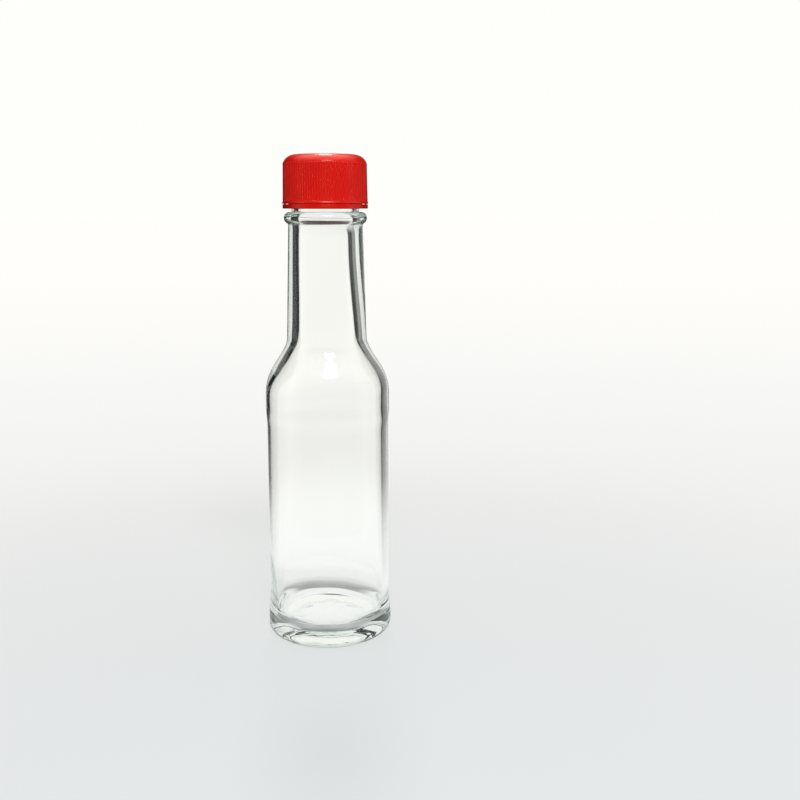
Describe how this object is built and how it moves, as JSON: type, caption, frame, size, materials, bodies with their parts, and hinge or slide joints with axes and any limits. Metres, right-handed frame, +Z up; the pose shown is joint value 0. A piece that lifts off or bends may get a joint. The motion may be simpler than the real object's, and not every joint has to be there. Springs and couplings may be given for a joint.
{
  "type": "sauce bottle",
  "caption": "Clear glass long-neck sauce bottle with a neck ring, recessed label panel and hollow base, closed by a finely ribbed red screw cap with a tamper-evident band.",
  "frame": {"origin": "middle of the ring the bottle stands on, at the surface it stands on", "axes": "+Z up along the bottle's axis; +Y away from the viewer in the front view, +X to the right"},
  "size_m": [0.0444, 0.0444, 0.17],
  "materials": {
    "glass": "clear, faintly green soda-lime glass",
    "cap_plastic": "semi-gloss red polypropylene"
  },
  "bodies": {
    "root": {"glass_bottle": "glass", "screw_cap": "cap_plastic"}
  },
  "joints": []
}
